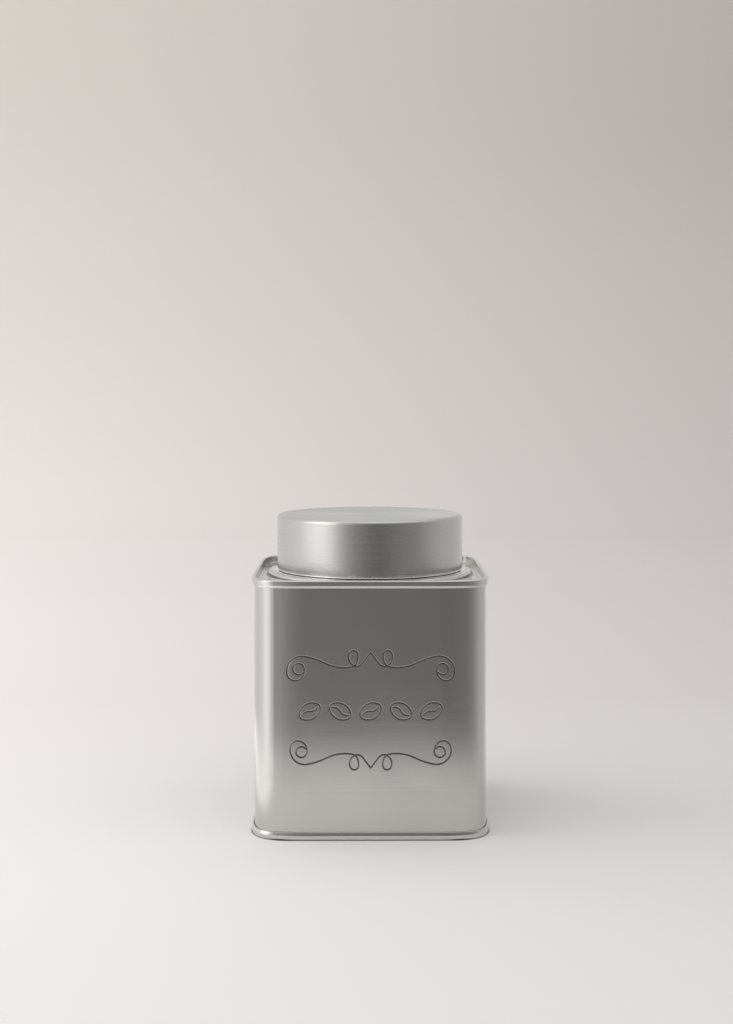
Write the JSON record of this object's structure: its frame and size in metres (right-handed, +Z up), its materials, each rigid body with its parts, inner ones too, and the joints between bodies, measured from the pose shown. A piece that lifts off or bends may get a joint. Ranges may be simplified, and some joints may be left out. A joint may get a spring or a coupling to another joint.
{
  "type": "square tin with round slip lid",
  "caption": "Square brushed tinplate canister with rolled rims, a round slip lid and an airtight press-in inner lid, for dry goods such as coffee.",
  "frame": {"origin": "on the floor plane under the middle of the square body", "axes": "+Z up through the lids; -Y is the front, with the pressed scrolls; the locked side seam is at +Y; +X is to the right seen from the front"},
  "size_m": [0.1, 0.1, 0.13],
  "materials": {
    "tinplate_body": "bare tinplate, brushed round the body",
    "tinplate_ends": "bare tinplate, satin",
    "tinplate_neck": "bare tinplate, satin",
    "tinplate_inner_lid": "bare tinplate, satin",
    "tinplate_lid": "bare tinplate, brushed round the skirt",
    "sealing_compound": "matt grey rubber compound",
    "turned_aluminium": "turned, satin",
    "rivet_aluminium": "set cold, dull"
  },
  "bodies": {
    "tin": {"body_wall": "tinplate_body", "bottom_plate": "tinplate_ends", "top_plate": "tinplate_ends", "top_seam_compound": "sealing_compound", "bottom_seam_compound": "sealing_compound", "neck_ring": "tinplate_neck"},
    "inner_lid_body": {"inner_lid": "tinplate_inner_lid", "inner_lid_knob": "turned_aluminium", "knob_rivet": "rivet_aluminium"},
    "outer_lid_body": {"outer_lid": "tinplate_lid"}
  },
  "joints": [
    {"name": "inner_lid_lift", "type": "slide", "parent": "tin", "child": "inner_lid_body", "axis": [0, 0, 1], "range_m": [0, 0.04]},
    {"name": "outer_lid_lift", "type": "slide", "parent": "inner_lid_body", "child": "outer_lid_body", "axis": [0, 0, 1], "range_m": [0, 0.045]}
  ]
}
